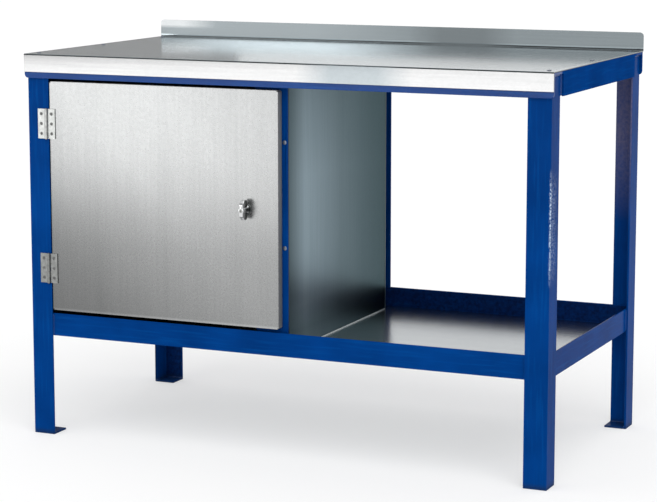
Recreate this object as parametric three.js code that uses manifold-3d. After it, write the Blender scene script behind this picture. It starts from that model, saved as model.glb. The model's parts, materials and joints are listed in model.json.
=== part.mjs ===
// Workshop bench of rolled steel angle with a galvanised worktop, a lower shelf and a lockable cupboard.
// Millimetres, +Z up, front towards -Y. The origin is on the floor, at the middle of the bench's outer box.
import * as THREE from 'three';
import { mergeVertices } from 'three/addons/utils/BufferGeometryUtils.js';
import Module from 'manifold-3d';

const wasm = await Module();
wasm.setup();

// Overall sizes of the welded frame
const BENCH_WIDTH = 1200;
const BENCH_DEPTH = 618;
const WORK_HEIGHT = 840;
const SHELF_RAIL_BASE = 222;

// Rolled angle of the legs and rails
const ANGLE = 50;
const ANGLE_WALL = 5;
const ANGLE_ROOT = 4;
const ANGLE_TOE = 2.5;
const RAIL_END_RADIUS = 8;
const SIDE_RAIL_SETBACK = 5;
const FOOT_PLATE = 4;

// Gap between pieces that touch, room around what passes through a hole, and reach of a cut past a face
const FIT = 0.3;
const HOLE_ROOM = 0.35;
const CUT_REACH = 1;

// Worktop sheet, shelf sheet and the bearers under the worktop
const TOP_SHEET = 2;
const LIP_DROP = 39;
const UPSTAND_HEIGHT = 40;
const UPSTAND_OVERHANG = 6;
const UPSTAND_CORNER = 8;
const SHEET_BEND = 0.8;
const SHELF_SHEET = 2;
const BEARER = 40;
const BEARER_WALL = 4;
const BEARER_ROOT = 3;
const BEARER_TOE = 2;

// Blind rivets: the head and the tail reach past the hole by their rims
const RIVET_SHANK_RADIUS = 2.4;
const RIVET_HEAD = 1.5;
const RIVET_HEAD_RIM = 1.85;
const RIVET_HEAD_SHOULDER = 1.1;
const RIVET_DOME_RADIUS = 3.4;
const RIVET_CROWN_RADIUS = 1.8;
const RIVET_TAIL = 2;
const RIVET_TAIL_RIM = 0.65;
const TOP_RIVET_INSET = 20;
const TOP_RIVET_SETBACK = 29;

// Cupboard posts and panels
const POST_WIDTH = 73;
const POST_WALL = 5;
const REAR_POST_SHIFT = 9;
const PANEL_SHEET = 1.5;
const PANEL_RETURN = 20;
const PANEL_BEND = 1.2;
const REAR_PANEL_GAP = 4;
const POST_RIVET_ROOM = 0.95;
const POST_RIVET_SPACING = 222;
const POST_RIVET_RISE = 30;

// Cupboard door, a folded tray
const DOOR_WIDTH = 545;
const DOOR_DEPTH = 19;
const DOOR_SHEET = 1.5;
const DOOR_SIDE_GAP = 3;
const DOOR_TOP_GAP = 6.5;
const DOOR_BOTTOM_GAP = 8.5;
const DOOR_STOP_GAP = 1.5;
const DOOR_CORNER_RELIEF = 2.5;

// Butt hinges and their countersunk screws
const HINGE_HEIGHT = 65;
const HINGE_LEAF = 21;
const HINGE_SHEET = 2;
const HINGE_AXIS_INSET = 7.8;
const HINGE_END_OFFSET = 92;
const KNUCKLE_WALL = 1.55;
const KNUCKLE_COUNT = 5;
const KNUCKLE_ROOM = 0.4;
const LEAF_ROOM = 0.6;
const PIN_RADIUS = 1.6;
const PIN_CAP = 0.8;
const SCREW_HEAD_RADIUS = 3.5;
const SCREW_HEAD = 1.7;
const SCREW_SHANK_RADIUS = 1.75;
const SCREW_LENGTH = 8;
const SCREW_RECESS_WIDTH = 0.9;
const SCREW_RECESS_LENGTH = 3.6;
const SCREW_RECESS_DEPTH = 0.9;
const SCREW_END = 11;

// Wing lock: a spindle turning in a barrel, a grip in front with the key plug in it, a cam behind
const LOCK_POST_ROOM = 3.5;
const SPINDLE_RADIUS = 5;
const BARREL_WALL = 4.15;
const LOCK_FLANGE = 3;
const LOCK_FLANGE_RIM = 2.5;
const LOCK_FLANGE_CHAMFER = 1;
const NUT_WALL = 3.15;
const NUT_THICKNESS = 4;
const NUT_SIDES = 6;
const PLUG_RADIUS = 4;
const PLUG_LENGTH = 18;
const PLUG_PROUD = 1;
const KEYWAY_WIDTH = 1.3;
const KEYWAY_HEIGHT = 5;
const KEYWAY_DEPTH = 9;
const HUB_LENGTH = 6;
const HUB_WALL = 3.15;
const HUB_FLARE = 2;
const WING_WALL = 1.65;
const WING_HEIGHT = 42;
const WING_FLARE = 9;
const WING_RIM = 2.4;
const WING_NOSE = 9;
const WING_NOSE_HEIGHT = 28;
const CAM_LENGTH = 42;
const CAM_TIP_WIDTH = 14;
const CAM_SHEET = 2.5;
const CAM_WALL = 2.5;
const CAM_ROOM = 1.5;
const CAM_SCREW_RADIUS = 2;
const CAM_SCREW_LENGTH = 10;
const CAM_SCREW_HEAD_RADIUS = 5;
const CAM_SCREW_HEAD = 2.5;
const SPINDLE_SQUARE_WALL = 0.85;

// Facets of round pieces
const ROUND_FACETS = 16;
const SMALL_FACETS = 10;
const ARC_STEPS = 3;

const FINISHES = {
  bluePaint: { color: 0x0b4191, roughness: 0.35, metalness: 0.1 },
  galvanised: { color: 0xb6bcbd, roughness: 0.32, metalness: 0.9 },
  zinc: { color: 0xc3c6c4, roughness: 0.38, metalness: 0.9 },
  chrome: { color: 0xd6d9da, roughness: 0.12, metalness: 1 },
};

// Radii that follow what passes through
const rivetHole = RIVET_SHANK_RADIUS + HOLE_ROOM;
const rivetHeadRadius = rivetHole + RIVET_HEAD_RIM;
const rivetTailRadius = rivetHole + RIVET_TAIL_RIM;
const pinHole = PIN_RADIUS + HOLE_ROOM;
const knuckleRadius = pinHole + KNUCKLE_WALL;
const spindleHole = SPINDLE_RADIUS + HOLE_ROOM;
const barrelRadius = spindleHole + BARREL_WALL;
const barrelHole = barrelRadius + HOLE_ROOM;
const flangeRadius = barrelRadius + LOCK_FLANGE_RIM;
const plugHole = PLUG_RADIUS + HOLE_ROOM;
const hubNeckRadius = plugHole + HUB_WALL;
const wingHalfWidth = plugHole + WING_WALL;
const camScrewHole = CAM_SCREW_RADIUS + HOLE_ROOM;
const spindleSquare = 2 * (camScrewHole + SPINDLE_SQUARE_WALL);
const camSquareHole = spindleSquare + 2 * HOLE_ROOM;
const camHubRadius = camSquareHole / Math.SQRT2 + CAM_WALL;

// Faces shared by several pieces
const railX = BENCH_WIDTH / 2;
const railY = BENCH_DEPTH / 2;
const frameTop = WORK_HEIGHT - TOP_SHEET - FIT;
const frameBase = frameTop - ANGLE;
const flangeUnderside = frameTop - ANGLE_WALL;
const sideRailHalf = railY - ANGLE - FIT;
const legX = railX - ANGLE_WALL - FIT;
const legY = railY - ANGLE_WALL - FIT;
const legTop = flangeUnderside - ANGLE_ROOT - FIT;
const lowX = legX - ANGLE_WALL - FIT;
const lowY = legY - ANGLE_WALL - FIT;
const lowTop = SHELF_RAIL_BASE + ANGLE;
const shelfHalfX = lowX - ANGLE_WALL - ANGLE_ROOT - FIT;
const shelfHalfY = lowY - ANGLE_WALL - ANGLE_ROOT - FIT;
const shelfBase = SHELF_RAIL_BASE + ANGLE_WALL + FIT;
const cupboardBase = shelfBase + SHELF_SHEET + FIT;
const postTop = flangeUnderside - FIT;
const panelTop = postTop - RIVET_TAIL - FIT;

const doorFront = -legY;
const doorBack = doorFront + DOOR_DEPTH;
const doorLeft = -legX + ANGLE + DOOR_SIDE_GAP;
const doorRight = doorLeft + DOOR_WIDTH;
const doorBase = lowTop + DOOR_BOTTOM_GAP;
const doorTop = frameBase - DOOR_TOP_GAP;
const doorMiddle = (doorBase + doorTop) / 2;

const postFront = doorBack + DOOR_STOP_GAP;
const postBack = postFront + POST_WALL;
const postRivetX = doorRight + POST_RIVET_ROOM + rivetHeadRadius;
const postRight = postRivetX + rivetTailRadius + HOLE_ROOM + PANEL_BEND + PANEL_SHEET;
const postLeft = postRight - POST_WIDTH;
const returnFront = postBack + FIT;
const cupboardRear = legY - ANGLE - REAR_PANEL_GAP;
const returnRear = cupboardRear - PANEL_SHEET - FIT;

const hingeX = doorLeft - HINGE_AXIS_INSET;
const leafBack = doorFront - FIT;
const leafFront = leafBack - HINGE_SHEET;
const hingeY = leafBack - knuckleRadius;
const leafNear = knuckleRadius + LEAF_ROOM;
const screwOut = (leafNear + HINGE_LEAF) / 2;
const screwSpacing = HINGE_HEIGHT / 2 - SCREW_END;
const hingeHeights = { upper: doorTop - HINGE_END_OFFSET, lower: doorBase + HINGE_END_OFFSET };

const lockX = postLeft - camHubRadius - LOCK_POST_ROOM;
const lockZ = doorMiddle;
const flangeBack = doorFront - FIT;
const flangeFront = flangeBack - LOCK_FLANGE;
const hubBack = flangeFront - FIT;
const hubFront = hubBack - HUB_LENGTH;
const wingShoulder = hubFront - WING_FLARE;
const wingRim = wingShoulder - WING_RIM;
const wingFront = wingRim - WING_NOSE;
const plugFront = wingFront - PLUG_PROUD;
const plugBack = plugFront + PLUG_LENGTH;
const camFront = postBack + CAM_ROOM;
const camBack = camFront + CAM_SHEET;
const barrelBack = doorBack - DOOR_STOP_GAP;

// The origin lies midway between the frontmost and the rearmost face
const upstandRear = railY + UPSTAND_OVERHANG;
const originShift = -(plugFront + upstandRear) / 2;

const bench = new THREE.Group();
bench.position.y = originShift;

function enclosedVolume(vertices, triangles) {
  const corner = (i) => new THREE.Vector3().fromArray(vertices, 3 * triangles[i]);
  let volume = 0;
  for (let i = 0; i < triangles.length; i += 3) {
    volume += corner(i).dot(corner(i + 1).cross(corner(i + 2))) / 6;
  }
  return volume;
}

function toSolid(geometry) {
  const bare = geometry.clone();
  bare.deleteAttribute('normal');
  bare.deleteAttribute('uv');
  const merged = mergeVertices(bare);
  const index = merged.index.array;
  const triangles = [];
  for (let i = 0; i < index.length; i += 3) {
    const [a, b, c] = [index[i], index[i + 1], index[i + 2]];
    if (a !== b && b !== c && c !== a) {
      triangles.push(a, b, c);
    }
  }
  const vertices = merged.attributes.position.array;
  const outward = enclosedVolume(vertices, triangles) > 0 ? triangles : triangles.reverse();
  return new wasm.Manifold(new wasm.Mesh({
    numProp: 3,
    vertProperties: new Float32Array(vertices),
    triVerts: new Uint32Array(outward),
  }));
}

function toGeometry(solid) {
  const mesh = solid.getMesh();
  const geometry = new THREE.BufferGeometry();
  geometry.setAttribute('position', new THREE.BufferAttribute(new Float32Array(mesh.vertProperties), 3));
  geometry.setIndex(new THREE.BufferAttribute(new Uint32Array(mesh.triVerts), 1));
  geometry.computeVertexNormals();
  return geometry;
}

function addPiece(name, solid, finish) {
  const mesh = new THREE.Mesh(toGeometry(solid), new THREE.MeshStandardMaterial(FINISHES[finish]));
  mesh.name = name;
  bench.add(mesh);
}

function cutAll(solid, cutters) {
  return cutters.reduce((rest, cutter) => rest.subtract(cutter), solid);
}

function joinAll(solids) {
  return solids.reduce((whole, solid) => whole.add(solid));
}

function box(x0, x1, y0, y1, z0, z1) {
  const geometry = new THREE.BoxGeometry(x1 - x0, y1 - y0, z1 - z0);
  geometry.translate((x0 + x1) / 2, (y0 + y1) / 2, (z0 + z1) / 2);
  return toSolid(geometry);
}

function extrude(outline, length, hole) {
  const shape = new THREE.Shape(outline.map(([u, v]) => new THREE.Vector2(u, v)));
  if (hole) {
    shape.holes.push(new THREE.Path(hole.map(([u, v]) => new THREE.Vector2(u, v))));
  }
  return new THREE.ExtrudeGeometry(shape, { depth: length, bevelEnabled: false });
}

// Outline of (y, z) points run along X
function alongX(outline, x0, x1) {
  const geometry = extrude(outline, x1 - x0);
  const basis = new THREE.Matrix4().makeBasis(
    new THREE.Vector3(0, 1, 0),
    new THREE.Vector3(0, 0, 1),
    new THREE.Vector3(1, 0, 0),
  );
  geometry.applyMatrix4(basis);
  geometry.translate(x0, 0, 0);
  return toSolid(geometry);
}

// Outline of (x, z) points run along Y
function alongY(outline, y0, y1, hole) {
  const geometry = extrude(outline, y1 - y0, hole);
  const basis = new THREE.Matrix4().makeBasis(
    new THREE.Vector3(1, 0, 0),
    new THREE.Vector3(0, 0, 1),
    new THREE.Vector3(0, -1, 0),
  );
  geometry.applyMatrix4(basis);
  geometry.translate(0, y1, 0);
  return toSolid(geometry);
}

// Outline of (x, y) points run along Z
function alongZ(outline, z0, z1) {
  const geometry = extrude(outline, z1 - z0);
  geometry.translate(0, 0, z0);
  return toSolid(geometry);
}

// Profile of (radius, y) points turned about an axis parallel to Y
function turnedY(profile, x, z, facets) {
  const points = profile.map(([radius, y]) => new THREE.Vector2(radius, y));
  const geometry = new THREE.LatheGeometry(points, facets);
  geometry.translate(x, 0, z);
  return toSolid(geometry);
}

// Profile of (radius, z) points turned about an axis parallel to Z
function turnedZ(profile, x, y, facets) {
  const points = profile.map(([radius, z]) => new THREE.Vector2(radius, z));
  const geometry = new THREE.LatheGeometry(points, facets);
  geometry.rotateX(Math.PI / 2);
  geometry.translate(x, y, 0);
  return toSolid(geometry);
}

function rodY(radius, y0, y1, x, z, facets = SMALL_FACETS) {
  return turnedY([[0, y0], [radius, y0], [radius, y1], [0, y1]], x, z, facets);
}

function rodZ(radius, z0, z1, x, y, facets = SMALL_FACETS) {
  return turnedZ([[0, z0], [radius, z0], [radius, z1], [0, z1]], x, y, facets);
}

function arc(u, v, radius, from, to) {
  const points = [];
  for (let step = 0; step <= ARC_STEPS; step += 1) {
    const angle = from + ((to - from) * step) / ARC_STEPS;
    points.push([u + radius * Math.cos(angle), v + radius * Math.sin(angle)]);
  }
  return points;
}

// Rolled angle with its heel at (u, v) and its flanges towards the given signs
function angleSection(u, v, towardsU, towardsV, size, wall, root, toe) {
  const quarter = Math.PI / 2;
  const outline = [
    [0, 0],
    [size, 0],
    ...arc(size - toe, wall - toe, toe, 0, quarter),
    ...arc(wall + root, wall + root, root, 3 * quarter, 2 * quarter),
    ...arc(wall - toe, size - toe, toe, 0, quarter),
    [0, size],
  ];
  return outline.map(([a, b]) => [u + towardsU * a, v + towardsV * b]);
}

function frameAngle(u, v, towardsU, towardsV) {
  return angleSection(u, v, towardsU, towardsV, ANGLE, ANGLE_WALL, ANGLE_ROOT, ANGLE_TOE);
}

// Folded sheet along a path of square corners, as a closed outline
function foldedSheet(path, sheet, insideBend) {
  const middleBend = insideBend + sheet / 2;
  const left = [];
  const right = [];
  const corners = path.map((point) => new THREE.Vector2(...point));
  const heading = (i) => corners[i + 1].clone().sub(corners[i]).normalize();
  const addPair = (centre, direction, leftDistance, rightDistance) => {
    left.push([centre.x + direction.x * leftDistance, centre.y + direction.y * leftDistance]);
    right.push([centre.x + direction.x * rightDistance, centre.y + direction.y * rightDistance]);
  };
  const addEnd = (point, direction) => {
    const normal = new THREE.Vector2(-direction.y, direction.x);
    addPair(point, normal, sheet / 2, -sheet / 2);
  };
  addEnd(corners[0], heading(0));
  for (let i = 1; i < corners.length - 1; i += 1) {
    const before = heading(i - 1);
    const turn = Math.sign(before.cross(heading(i)));
    const normal = new THREE.Vector2(-before.y, before.x);
    const centre = corners[i].clone()
      .addScaledVector(before, -middleBend)
      .addScaledVector(normal, turn * middleBend);
    for (let step = 0; step <= ARC_STEPS; step += 1) {
      const spoke = normal.clone().multiplyScalar(-turn);
      spoke.rotateAround(new THREE.Vector2(), (turn * Math.PI * step) / (2 * ARC_STEPS));
      addPair(centre, spoke, middleBend - (turn * sheet) / 2, middleBend + (turn * sheet) / 2);
    }
  }
  addEnd(corners[corners.length - 1], heading(corners.length - 2));
  return [...left, ...right.reverse()];
}

// Cutter that rounds the corner at (x, z), running along Y
function cornerRounder(x, z, towardsX, towardsZ, radius, y0, y1) {
  const quarter = Math.PI / 2;
  const outline = [
    [radius, -CUT_REACH],
    [-CUT_REACH, -CUT_REACH],
    [-CUT_REACH, radius],
    ...arc(radius, radius, radius, 2 * quarter, 3 * quarter),
  ];
  return alongY(outline.map(([a, b]) => [x + towardsX * a, z + towardsZ * b]), y0, y1);
}

// Places of the hinge screws on one leaf
function screwPlaces(height, side) {
  return [-1, 0, 1].map((step) => [hingeX + side * screwOut, height + step * screwSpacing]);
}

function screwHoles(side) {
  const radius = SCREW_SHANK_RADIUS + HOLE_ROOM;
  const places = Object.values(hingeHeights).flatMap((height) => screwPlaces(height, side));
  const depth = leafFront + SCREW_LENGTH + CUT_REACH;
  return places.map(([x, z]) => rodY(radius, leafFront, depth, x, z));
}

// Legs and feet
function buildLegs() {
  for (const [place, signX, signY] of [
    ['front_left', -1, -1],
    ['front_right', 1, -1],
    ['rear_left', -1, 1],
    ['rear_right', 1, 1],
  ]) {
    const heelX = signX * legX;
    const heelY = signY * legY;
    const leg = alongZ(frameAngle(heelX, heelY, -signX, -signY), FOOT_PLATE + FIT, legTop);
    const holes = place === 'front_left' ? screwHoles(-1) : [];
    addPiece(`leg_${place}`, cutAll(leg, holes), 'bluePaint');
    const inX = heelX - signX * ANGLE;
    const inY = heelY - signY * ANGLE;
    const foot = box(
      Math.min(heelX, inX),
      Math.max(heelX, inX),
      Math.min(heelY, inY),
      Math.max(heelY, inY),
      0,
      FOOT_PLATE,
    );
    addPiece(`foot_plate_${place}`, foot, 'bluePaint');
  }
}

// Lower rails and shelf
function buildLowerRails() {
  const alongHalf = lowX - ANGLE_WALL - FIT;
  for (const [place, sign] of [['front', -1], ['rear', 1]]) {
    const outline = frameAngle(sign * lowY, SHELF_RAIL_BASE, -sign, 1);
    addPiece(`lower_rail_${place}`, alongX(outline, -alongHalf, alongHalf), 'bluePaint');
  }
  const acrossHalf = legY - ANGLE_WALL - ANGLE_ROOT - FIT;
  const flangeHalf = lowY - ANGLE - FIT;
  for (const [place, sign] of [['left', -1], ['right', 1]]) {
    const rail = alongY(frameAngle(sign * lowX, SHELF_RAIL_BASE, -sign, 1), -acrossHalf, acrossHalf);
    const webInside = sign * (lowX - ANGLE_WALL);
    const flangeEdge = sign * (lowX - 2 * ANGLE);
    const copes = [-1, 1].map((end) => box(
      Math.min(webInside, flangeEdge),
      Math.max(webInside, flangeEdge),
      end < 0 ? -railY : flangeHalf,
      end < 0 ? -flangeHalf : railY,
      0,
      lowTop,
    ));
    addPiece(`lower_rail_${place}`, cutAll(rail, copes), 'bluePaint');
  }
}

function buildShelf() {
  const shelf = box(-shelfHalfX, shelfHalfX, -shelfHalfY, shelfHalfY, shelfBase, shelfBase + SHELF_SHEET);
  addPiece('shelf_sheet', shelf, 'galvanised');
}

// Top rails, bearers and worktop
function topRivetPlaces() {
  const places = [];
  for (const [end, sign] of [['left', -1], ['right', 1]]) {
    for (const [step, place] of [[-1, 'front'], [0, 'middle'], [1, 'rear']]) {
      const y = step * (railY - TOP_RIVET_SETBACK);
      places.push([`${end}_${place}`, sign * (railX - TOP_RIVET_INSET), y]);
    }
  }
  return places;
}

function topRivetHoles() {
  return topRivetPlaces().map(([, x, y]) => rodZ(rivetHole, frameBase, WORK_HEIGHT + CUT_REACH, x, y));
}

function buildTopRails() {
  for (const [place, sign] of [['front', -1], ['rear', 1]]) {
    const rail = alongX(frameAngle(sign * railY, frameTop, -sign, -1), -railX, railX);
    const rounders = [-1, 1].map((end) => (
      cornerRounder(end * railX, frameBase, -end, 1, RAIL_END_RADIUS, -2 * railY, 2 * railY)
    ));
    addPiece(`top_rail_${place}`, cutAll(rail, [...rounders, ...topRivetHoles()]), 'bluePaint');
  }
  const webHalf = legY - ANGLE - SIDE_RAIL_SETBACK;
  for (const [place, sign] of [['left', -1], ['right', 1]]) {
    const rail = alongY(frameAngle(sign * railX, frameTop, -sign, -1), -sideRailHalf, sideRailHalf);
    const webInside = sign * (railX - ANGLE_WALL - ANGLE_ROOT);
    const webOutside = sign * (railX + CUT_REACH);
    const copes = [-1, 1].map((end) => box(
      Math.min(webInside, webOutside),
      Math.max(webInside, webOutside),
      end < 0 ? -railY : webHalf,
      end < 0 ? -webHalf : railY,
      frameBase - CUT_REACH,
      flangeUnderside,
    ));
    addPiece(`top_rail_${place}`, cutAll(rail, [...copes, ...topRivetHoles()]), 'bluePaint');
  }
}

function buildBearers() {
  const bayMiddle = (postRight + legX - BEARER) / 2;
  for (const [place, x] of [['cupboard', postRight + FIT], ['bay', bayMiddle]]) {
    const outline = angleSection(x, frameTop, 1, -1, BEARER, BEARER_WALL, BEARER_ROOT, BEARER_TOE);
    addPiece(`top_bearer_${place}`, alongY(outline, -sideRailHalf, sideRailHalf), 'bluePaint');
  }
}

function buildWorktop() {
  const lipMiddle = -railY - FIT - TOP_SHEET / 2;
  const sheetMiddle = WORK_HEIGHT - TOP_SHEET / 2;
  const upstandMiddle = upstandRear - TOP_SHEET / 2;
  const upstandTop = WORK_HEIGHT + UPSTAND_HEIGHT;
  const outline = foldedSheet([
    [lipMiddle, WORK_HEIGHT - LIP_DROP],
    [lipMiddle, sheetMiddle],
    [upstandMiddle, sheetMiddle],
    [upstandMiddle, upstandTop],
  ], TOP_SHEET, SHEET_BEND);
  const rounders = [-1, 1].map((end) => (
    cornerRounder(end * railX, upstandTop, -end, -1, UPSTAND_CORNER, 0, 2 * railY)
  ));
  const worktop = alongX(outline, -railX, railX);
  addPiece('worktop_sheet', cutAll(worktop, [...rounders, ...topRivetHoles()]), 'galvanised');
}

// Rivet profile: domed head outside `face`, shank through to `back`, tail beyond it
function rivetProfile(face, back, outwards) {
  const seat = face + outwards * FIT;
  const tailSeat = back - outwards * FIT;
  return [
    [0, tailSeat - outwards * RIVET_TAIL],
    [RIVET_SHANK_RADIUS, tailSeat - outwards * RIVET_TAIL],
    [rivetTailRadius, tailSeat],
    [RIVET_SHANK_RADIUS, tailSeat],
    [RIVET_SHANK_RADIUS, seat],
    [rivetHeadRadius, seat],
    [RIVET_DOME_RADIUS, seat + outwards * RIVET_HEAD_SHOULDER],
    [RIVET_CROWN_RADIUS, seat + outwards * RIVET_HEAD],
    [0, seat + outwards * RIVET_HEAD],
  ];
}

function buildTopRivets() {
  for (const [place, x, y] of topRivetPlaces()) {
    const profile = rivetProfile(WORK_HEIGHT, flangeUnderside, 1);
    addPiece(`worktop_rivet_${place}`, turnedZ(profile, x, y, SMALL_FACETS), 'zinc');
  }
}

// Posts and panels of the cupboard
function postRivetPlaces() {
  const middle = doorMiddle + POST_RIVET_RISE;
  const half = POST_RIVET_SPACING / 2;
  return [['lower', postRivetX, middle - half], ['upper', postRivetX, middle + half]];
}

function postRivetHoles() {
  const behindReturn = returnFront + PANEL_SHEET + CUT_REACH;
  return postRivetPlaces().map(([, x, z]) => rodY(rivetHole, postFront - CUT_REACH, behindReturn, x, z));
}

function buildPosts() {
  const front = box(postLeft, postRight, postFront, postBack, cupboardBase, postTop);
  addPiece('door_post', cutAll(front, postRivetHoles()), 'bluePaint');
  const rearRight = postRight - REAR_POST_SHIFT;
  const rear = box(rearRight - POST_WIDTH, rearRight, lowY + FIT, legY, SHELF_RAIL_BASE, legTop);
  addPiece('rear_post', rear, 'bluePaint');
}

function buildPostRivets() {
  for (const [place, x, z] of postRivetPlaces()) {
    const profile = rivetProfile(postFront, returnFront + PANEL_SHEET, -1);
    addPiece(`post_rivet_${place}`, turnedY(profile, x, z, SMALL_FACETS), 'zinc');
  }
}

// Side panel: a channel whose returns point into the cupboard
function sidePanel(outside, inwards) {
  const middle = outside + (inwards * PANEL_SHEET) / 2;
  const returnEnd = outside + inwards * PANEL_RETURN;
  const frontMiddle = returnFront + PANEL_SHEET / 2;
  const rearMiddle = returnRear - PANEL_SHEET / 2;
  const outline = foldedSheet([
    [returnEnd, frontMiddle],
    [middle, frontMiddle],
    [middle, rearMiddle],
    [returnEnd, rearMiddle],
  ], PANEL_SHEET, PANEL_BEND);
  return alongZ(outline, cupboardBase, panelTop);
}

function buildPanels() {
  const right = sidePanel(postRight, -1);
  addPiece('cupboard_panel_right', cutAll(right, postRivetHoles()), 'galvanised');
  addPiece('cupboard_panel_left', sidePanel(-shelfHalfX, 1), 'galvanised');
  const backFront = cupboardRear - PANEL_SHEET;
  const back = box(-shelfHalfX, postRight, backFront, cupboardRear, cupboardBase, panelTop);
  addPiece('cupboard_panel_back', back, 'galvanised');
}

// Door tray with relief cuts at its folded corners
function buildDoor() {
  const skin = box(doorLeft, doorRight, doorFront, doorBack, doorBase, doorTop);
  const hollow = box(
    doorLeft + DOOR_SHEET,
    doorRight - DOOR_SHEET,
    doorFront + DOOR_SHEET,
    doorBack + CUT_REACH,
    doorBase + DOOR_SHEET,
    doorTop - DOOR_SHEET,
  );
  const reliefs = [];
  for (const x of [doorLeft, doorRight]) {
    for (const z of [doorBase, doorTop]) {
      reliefs.push(box(
        x - DOOR_CORNER_RELIEF,
        x + DOOR_CORNER_RELIEF,
        doorFront - CUT_REACH,
        doorBack + CUT_REACH,
        z - DOOR_CORNER_RELIEF,
        z + DOOR_CORNER_RELIEF,
      ));
    }
  }
  const lockHole = rodY(barrelHole, doorFront - CUT_REACH, doorBack, lockX, lockZ, ROUND_FACETS);
  addPiece('door_tray', cutAll(skin, [hollow, ...reliefs, lockHole, ...screwHoles(1)]), 'galvanised');
}

// Hinges: the frame leaf holds the odd knuckles, the door leaf the even ones
function screwProfile(room) {
  const slope = (SCREW_HEAD_RADIUS - SCREW_SHANK_RADIUS) / SCREW_HEAD;
  const lift = room > 0 ? CUT_REACH : 0;
  return [
    [0, leafFront - lift],
    [SCREW_HEAD_RADIUS + room + lift * slope, leafFront - lift],
    [SCREW_SHANK_RADIUS + room, leafFront + SCREW_HEAD],
    [SCREW_SHANK_RADIUS + room, leafFront + SCREW_LENGTH],
    [0, leafFront + SCREW_LENGTH],
  ];
}

function hingeLeaf(height, side) {
  const base = height - HINGE_HEIGHT / 2;
  const pitch = HINGE_HEIGHT / KNUCKLE_COUNT;
  const near = hingeX + side * leafNear;
  const far = hingeX + side * HINGE_LEAF;
  const plate = (x, z0, z1) => box(Math.min(x, far), Math.max(x, far), leafFront, leafBack, z0, z1);
  const solids = [plate(near, base, base + HINGE_HEIGHT)];
  for (let knuckle = side > 0 ? 1 : 0; knuckle < KNUCKLE_COUNT; knuckle += 2) {
    const z0 = base + knuckle * pitch + (knuckle > 0 ? KNUCKLE_ROOM / 2 : 0);
    const z1 = base + (knuckle + 1) * pitch - (knuckle < KNUCKLE_COUNT - 1 ? KNUCKLE_ROOM / 2 : 0);
    solids.push(plate(hingeX, z0, z1));
    solids.push(rodZ(knuckleRadius, z0, z1, hingeX, hingeY, ROUND_FACETS));
  }
  const boreTop = base + HINGE_HEIGHT + CUT_REACH;
  const bore = rodZ(pinHole, base - CUT_REACH, boreTop, hingeX, hingeY, ROUND_FACETS);
  const sink = screwProfile(HOLE_ROOM);
  const holes = screwPlaces(height, side).map(([x, z]) => turnedY(sink, x, z, SMALL_FACETS));
  return cutAll(joinAll(solids), [bore, ...holes]);
}

function hingePin(height) {
  const base = height - HINGE_HEIGHT / 2;
  const top = height + HINGE_HEIGHT / 2;
  const capRadius = knuckleRadius - FIT;
  const profile = [
    [0, base - FIT - PIN_CAP],
    [capRadius - PIN_CAP, base - FIT - PIN_CAP],
    [capRadius, base - FIT],
    [PIN_RADIUS, base - FIT],
    [PIN_RADIUS, top + FIT],
    [capRadius, top + FIT],
    [capRadius - PIN_CAP, top + FIT + PIN_CAP],
    [0, top + FIT + PIN_CAP],
  ];
  return turnedZ(profile, hingeX, hingeY, ROUND_FACETS);
}

function hingeScrew(x, z) {
  const bottom = leafFront + SCREW_RECESS_DEPTH;
  const long = SCREW_RECESS_LENGTH / 2;
  const wide = SCREW_RECESS_WIDTH / 2;
  const recess = [
    box(x - long, x + long, leafFront - CUT_REACH, bottom, z - wide, z + wide),
    box(x - wide, x + wide, leafFront - CUT_REACH, bottom, z - long, z + long),
  ];
  return cutAll(turnedY(screwProfile(0), x, z, SMALL_FACETS), recess);
}

function buildHinges() {
  for (const [place, height] of Object.entries(hingeHeights)) {
    addPiece(`hinge_${place}_frame_leaf`, hingeLeaf(height, -1), 'zinc');
    addPiece(`hinge_${place}_door_leaf`, hingeLeaf(height, 1), 'zinc');
    addPiece(`hinge_${place}_pin`, hingePin(height), 'zinc');
    for (const [leaf, side] of [['frame', -1], ['door', 1]]) {
      screwPlaces(height, side).forEach(([x, z], i) => {
        addPiece(`hinge_${place}_${leaf}_screw_${i + 1}`, hingeScrew(x, z), 'zinc');
      });
    }
  }
}

// Lock: a barrel clamped in the door skin by a nut, a wing on a spindle, a cam behind the post
function buildLockBody() {
  const body = turnedY([
    [spindleHole, flangeFront],
    [flangeRadius - LOCK_FLANGE_CHAMFER, flangeFront],
    [flangeRadius, flangeFront + LOCK_FLANGE_CHAMFER],
    [flangeRadius, flangeBack],
    [barrelRadius, flangeBack],
    [barrelRadius, barrelBack],
    [spindleHole, barrelBack],
    [spindleHole, flangeFront],
  ], lockX, lockZ, ROUND_FACETS);
  addPiece('lock_body', body, 'chrome');

  const nutFront = doorFront + DOOR_SHEET + FIT;
  const nutCorner = (barrelHole + NUT_WALL) / Math.cos(Math.PI / NUT_SIDES);
  const hexagon = ring(nutCorner, NUT_SIDES);
  const nut = alongY(hexagon, nutFront, nutFront + NUT_THICKNESS, ring(barrelHole, ROUND_FACETS));
  addPiece('lock_nut', nut, 'zinc');
}

// Points on a circle about the lock's axis
function ring(radius, count) {
  return Array.from({ length: count }, (_, i) => {
    const angle = (2 * Math.PI * i) / count;
    return [lockX + radius * Math.cos(angle), lockZ + radius * Math.sin(angle)];
  });
}

function squareAround(size) {
  const half = size / 2;
  const corners = [[-half, -half], [half, -half], [half, half], [-half, half]];
  return corners.map(([u, v]) => [lockX + u, lockZ + v]);
}

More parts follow.
